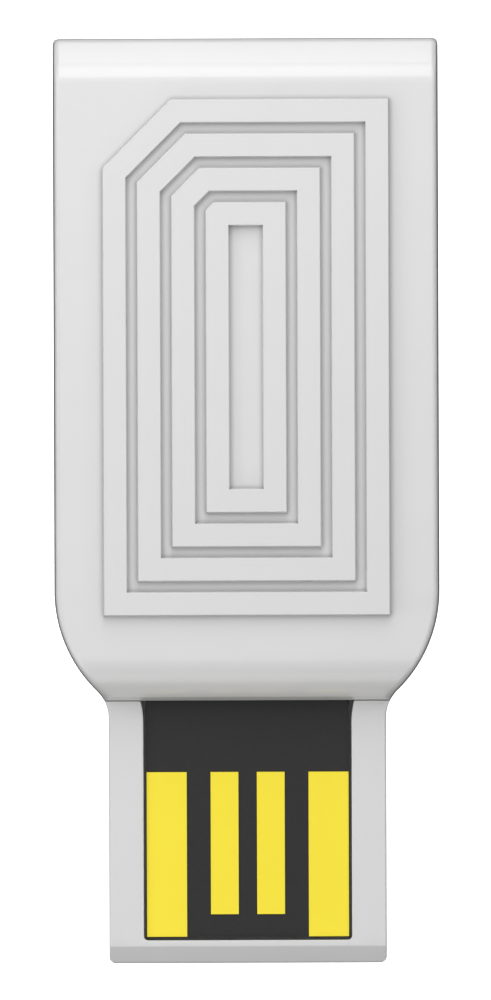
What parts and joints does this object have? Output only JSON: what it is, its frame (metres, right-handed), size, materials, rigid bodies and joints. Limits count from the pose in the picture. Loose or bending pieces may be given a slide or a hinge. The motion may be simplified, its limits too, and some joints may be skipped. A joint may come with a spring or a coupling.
{
  "type": "usb wifi adapter",
  "caption": "Compact USB wireless network adapter: flat white housing with a stepped concentric frame pattern and a slim half-height type A plug.",
  "frame": {"origin": "middle of the flat rear face, on the surface that the adapter lies on", "axes": "+X across the body, +Y from the plug to the tail end, +Z out of the front face with the raised pattern and the contacts"},
  "size_m": [0.0166, 0.04, 0.0047],
  "materials": {
    "white_housing": "glossy moulded white",
    "board": "black solder mask over glass fibre laminate",
    "contact_plating": "gold plated, matt",
    "copper": "etched copper",
    "chip_epoxy": "matt moulded epoxy",
    "tin_plating": "matt tin",
    "crystal_ceramic": "fired ceramic",
    "crystal_metal": "nickel plated lid",
    "capacitor_ceramic": "brown dielectric ceramic",
    "resistor_coat": "black overglaze",
    "ferrite": "sintered ferrite",
    "fuse_coat": "green polymer coat",
    "filter_ceramic": "white fired ceramic",
    "inductor_ceramic": "blue glazed ceramic",
    "shield_steel": "tin plated sheet"
  },
  "bodies": {
    "root": {"front_cover": "white_housing", "rear_tray": "white_housing", "circuit_board": "board", "ground_contact": "contact_plating", "data_plus_contact": "contact_plating", "data_minus_contact": "contact_plating", "power_contact": "contact_plating", "antenna_trace": "copper", "signal_traces": "copper", "wifi_chip": "chip_epoxy", "wifi_chip_lands": "tin_plating", "crystal_case": "crystal_ceramic", "crystal_lid": "crystal_metal", "regulator_body": "chip_epoxy", "regulator_leads": "tin_plating", "surge_protector_body": "chip_epoxy", "surge_protector_leads": "tin_plating", "power_inductor": "ferrite", "power_inductor_ends": "tin_plating", "ferrite_bead": "ferrite", "ferrite_bead_ends": "tin_plating", "resettable_fuse": "fuse_coat", "resettable_fuse_ends": "tin_plating", "bulk_capacitors": "capacitor_ceramic", "bulk_capacitor_ends": "tin_plating", "chip_capacitors": "capacitor_ceramic", "chip_capacitor_ends": "tin_plating", "chip_resistors": "resistor_coat", "chip_resistor_ends": "tin_plating", "antenna_filter": "filter_ceramic", "antenna_filter_ends": "tin_plating", "matching_inductors": "inductor_ceramic", "matching_inductor_ends": "tin_plating", "shield_fence": "shield_steel", "shield_lid": "shield_steel"}
  },
  "joints": []
}
